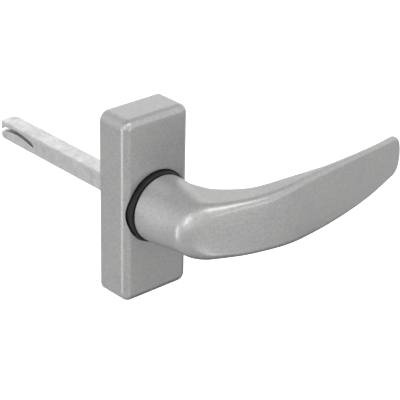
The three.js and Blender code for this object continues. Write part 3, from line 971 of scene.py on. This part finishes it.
spindle = loops_piece("spindle_bar", spindle_grid(), ends=("flat", "flat"), sharp_degrees=50)
spindle.data.materials.append(zinc)
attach(spindle, "handle")
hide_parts("square_spindle")

# %% [markdown]
# ## The hidden pieces
#
# Behind the cap there are eleven small parts besides the rivets: the cast base plate, the sheet that
# closes its back, the springs, the washers, the ring, the cam, the pin and the clips. Their shapes in
# the mechanical model are right, but their edges are perfectly sharp, and stamped and cast edges never
# are. So each one is copied, its loose triangles are merged, the flat areas are cleaned up, and a
# narrow bevel takes the sharpness away.


# %% Soften the edges of a mechanical piece
def softened(node, width_mm, material, body):
    """A merged copy of a mechanical piece, with flat areas joined and its sharp edges rounded."""
    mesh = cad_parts[node].data.copy()
    work = bmesh.new()
    work.from_mesh(mesh)
    bmesh.ops.remove_doubles(work, verts=work.verts, dist=2e-6)
    bmesh.ops.dissolve_limit(work, angle_limit=math.radians(1.0), verts=work.verts, edges=work.edges)
    work.to_mesh(mesh)
    work.free()
    mesh.materials.clear()
    mesh.materials.append(material)
    mesh.polygons.foreach_set("use_smooth", np.ones(len(mesh.polygons), bool))
    mesh.set_sharp_from_angle(angle=math.radians(35))
    piece = bpy.data.objects.new(node + "_soft", mesh)
    bpy.context.scene.collection.objects.link(piece)
    bevel = piece.modifiers.new("worn edges", "BEVEL")
    bevel.width = width_mm * MM
    bevel.segments = 2
    bevel.limit_method = "ANGLE"
    bevel.angle_limit = math.radians(35)
    bevel.harden_normals = True
    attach(piece, body)
    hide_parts(node)
    return piece


hidden = [
    softened("base_plate", 0.2, casting, "rosette"),
    softened("rear_plate", 0.12, zinc, "rosette"),
    softened("leaf_spring_left", 0.08, steel, "rosette"),
    softened("leaf_spring_right", 0.08, steel, "rosette"),
    softened("cover_clip_upper", 0.1, steel, "rosette"),
    softened("cover_clip_lower", 0.1, steel, "rosette"),
    softened("spindle_pin", 0.15, steel, "handle"),
    softened("thrust_washer", 0.1, zinc, "handle"),
    softened("wave_washer", 0.1, steel, "handle"),
    softened("detent_cam", 0.2, acetal, "handle"),
    softened("retaining_ring", 0.1, steel, "handle"),
]
print("softened", len(hidden), "hidden pieces")

# %% [markdown]
# The four rivets that hold the back sheet show from behind as low domes, so they are turned like the
# collar: a shank, a flat seat, and a cap whose height falls off with the square of the radius.


# %% Rivets
SHANK_R = 1.0
HEAD_THICKNESS = 0.5
DOME_DROP = 0.3


def rivet_grid(node):
    """Loops from the shank's end to the dome: over the head, y = top - DOME_DROP x (r / R)^2."""
    low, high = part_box(node)
    x, z = (low.x + high.x) / 2 / MM, (low.z + high.z) / 2 / MM
    head = (high.x - low.x) / 2 / MM
    top, foot = high.y / MM, low.y / MM
    seat = top - HEAD_THICKNESS
    radius = head * np.sin(np.linspace(np.pi / 2, 0.06, 12))
    dome = np.column_stack([radius, top - DOME_DROP * (radius / head) ** 2])
    profile = [(SHANK_R - 0.2, foot), (SHANK_R, foot + 0.2), (SHANK_R, seat)]
    profile += [(head - 0.1, seat), (head, seat + 0.1)]
    grid = turned(np.concatenate([profile, dome]), columns=48, centre=(x, z)) * MM
    return grid, (x * MM, foot * MM, z * MM), (x * MM, top * MM, z * MM)


for number in range(1, 5):
    node = f"rear_plate_rivet_{number}"
    grid, foot, crown = rivet_grid(node)
    rivet = loops_piece(node + "_dome", grid, ends=(foot, crown))
    rivet.data.materials.append(zinc)
    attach(rivet, "rosette")
    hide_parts(node)

# %% [markdown]
# ## Floor
#
# The handle hangs in the air over a wide pale floor, as a product shot on a light table would show it.
# The floor is far enough below for its shadow to be too soft to see. It glows for the camera only, so
# that it reads as white while it throws no more light than pale paper would.

# %% Floor
FLOOR_DEPTH = 0.35
FLOOR_SIDE = 14.0


def floor_material():
    """Pale, matt and slightly uneven, and bright enough to read as white."""
    floor = Finish("pale_floor", metallic=0.0, roughness=0.9)
    cloud = floor.noise(400.0, detail=2.0)
    colour = floor.blend(floor.ramp(cloud, 0.3, 0.7, 0.0, 1.0), grey(0.60), grey(0.64))
    floor.join(floor.shader.inputs["Base Color"], colour)
    floor.shader.inputs["Emission Color"].default_value = grey(1.0)
    seen = floor.add("ShaderNodeLightPath").outputs["Is Camera Ray"]
    floor.join(floor.shader.inputs["Emission Strength"], floor.ramp(seen, 0.0, 1.0, 0.0, 0.9))
    return floor.material


def floor_mesh():
    """A flat square grid at z = -FLOOR_DEPTH."""
    step = np.linspace(-FLOOR_SIDE / 2, FLOOR_SIDE / 2, 9)
    x, y = np.meshgrid(step, step, indexing="ij")
    points = np.stack([x, y, np.full_like(x, -FLOOR_DEPTH)], axis=-1).reshape(-1, 3)
    corner = (np.arange(8)[:, None] * 9 + np.arange(8)).ravel()
    return points, [np.stack([corner, corner + 9, corner + 10, corner + 1], axis=1)]


floor = mesh_piece("floor", *floor_mesh())
floor.data.materials.append(floor_material())
print("the floor is", FLOOR_DEPTH, "m below the spindle's axis")

# %% [markdown]
# A studio that wants the lower edge of a bright thing to stand out from a white table holds a black
# card just out of view. This one lies under the lever, and the lens doesn't see it. The paint's lower
# edges reflect it and turn a shade darker.


# %% A black card under the lever
CARD_X = (0.0, 0.25)
CARD_Y = (-0.14, 0.15)
CARD_DEPTH = 0.15


def card_mesh():
    """A flat rectangle at z = -CARD_DEPTH."""
    x, y = np.meshgrid(CARD_X, CARD_Y, indexing="ij")
    points = np.stack([x, y, np.full_like(x, -CARD_DEPTH)], axis=-1).reshape(-1, 3)
    return points, [np.array([[0, 2, 3, 1]])]


card = mesh_piece("black_card", *card_mesh())
card.data.materials.append(black)
card.visible_camera = False
print("the card is", CARD_DEPTH, "m below the spindle's axis")

# %% [markdown]
# ## Light
#
# The light is plain and soft. A white world fills every shadow. It dims towards the top, so that the
# faces that look up don't burn out, while the camera still sees it as pure white. The view transform
# is Standard, so that white stays white.
#
# Broad softboxes set the tone of the large faces: one at the back for the tops, and one low on the left
# for the cap's side and the neck. Narrower ones draw the bright lines along the rounded edges. The
# overhead box and the low front one make the pair of lines along the lever's upper edge. The two strips
# on the left make the line down the cap's edge and the crescent round the lever's nose. A small one in
# front and below puts a faint sheen low on the elbow.


# %% World
FALL_START = 0.42
HORIZON_LIGHT = 1.1
ZENITH_LIGHT = 0.4


def studio_world():
    """HORIZON_LIGHT up to a direction whose z is FALL_START, then less and less up to ZENITH_LIGHT."""
    made = bpy.data.worlds.new("studio_world")
    made.use_nodes = True
    nodes, links = made.node_tree.nodes, made.node_tree.links
    shade = nodes["Background"]
    shade.inputs["Color"].default_value = (1.0, 1.0, 1.0, 1.0)
    direction = nodes.new("ShaderNodeTexCoord").outputs["Generated"]
    split = nodes.new("ShaderNodeSeparateXYZ")
    fall = nodes.new("ShaderNodeMapRange")
    fall.inputs["From Min"].default_value = FALL_START
    fall.inputs["To Min"].default_value = HORIZON_LIGHT
    fall.inputs["To Max"].default_value = ZENITH_LIGHT
    brighter = nodes.new("ShaderNodeMath")
    brighter.operation = "MAXIMUM"
    seen = nodes.new("ShaderNodeLightPath").outputs["Is Camera Ray"]
    links.new(direction, split.inputs["Vector"])
    links.new(split.outputs["Z"], fall.inputs["Value"])
    links.new(fall.outputs["Result"], brighter.inputs[0])
    links.new(seen, brighter.inputs[1])
    links.new(brighter.outputs["Value"], shade.inputs["Strength"])
    return made


bpy.context.scene.world = studio_world()
bpy.context.scene.view_settings.view_transform = "Standard"
print("the world is", bpy.context.scene.world.name)


# %% Softboxes
def softbox(name, heading, height, distance, width, tall, brightness):
    """A rectangular light that faces the origin, whose place is given as angles seen from there.

    The heading is in degrees from -X towards -Y, and the height in degrees above the horizon. The power
    is pi x area x brightness, so that its face looks that many times as bright as a white card.
    """
    data = bpy.data.lights.new(name, "AREA")
    data.shape = "RECTANGLE"
    data.size = width
    data.size_y = tall
    data.energy = math.pi * width * tall * brightness
    turned_by, lifted_by = math.radians(heading), math.radians(height)
    direction = Vector((
        -math.cos(turned_by) * math.cos(lifted_by),
        -math.sin(turned_by) * math.cos(lifted_by),
        math.sin(lifted_by),
    ))
    light = bpy.data.objects.new(name, data)
    light.location = distance * direction
    light.rotation_euler = direction.to_track_quat("Z", "Y").to_euler()
    light.visible_camera = False
    bpy.context.scene.collection.objects.link(light)
    print(f"{name}: {data.energy:.2f} W at {distance} m")


softbox("back_wall_glow", heading=-120, height=28, distance=1.6, width=1.8, tall=0.7, brightness=0.26)
softbox("left_panel", heading=-52, height=-24, distance=1.3, width=0.9, tall=1.0, brightness=0.30)
softbox("overhead", heading=88, height=56, distance=1.2, width=0.8, tall=0.34, brightness=5.4)
softbox("front_low", heading=98, height=-2, distance=1.0, width=0.6, tall=0.10, brightness=4.5)
softbox("left_strip", heading=-12, height=-12, distance=0.66, width=0.04, tall=0.44, brightness=13.0)
softbox("left_high", heading=19, height=31, distance=0.70, width=0.05, tall=0.36, brightness=14.0)
softbox("elbow_sheen", heading=90, height=-46, distance=0.46, width=0.08, tall=0.08, brightness=5.0)
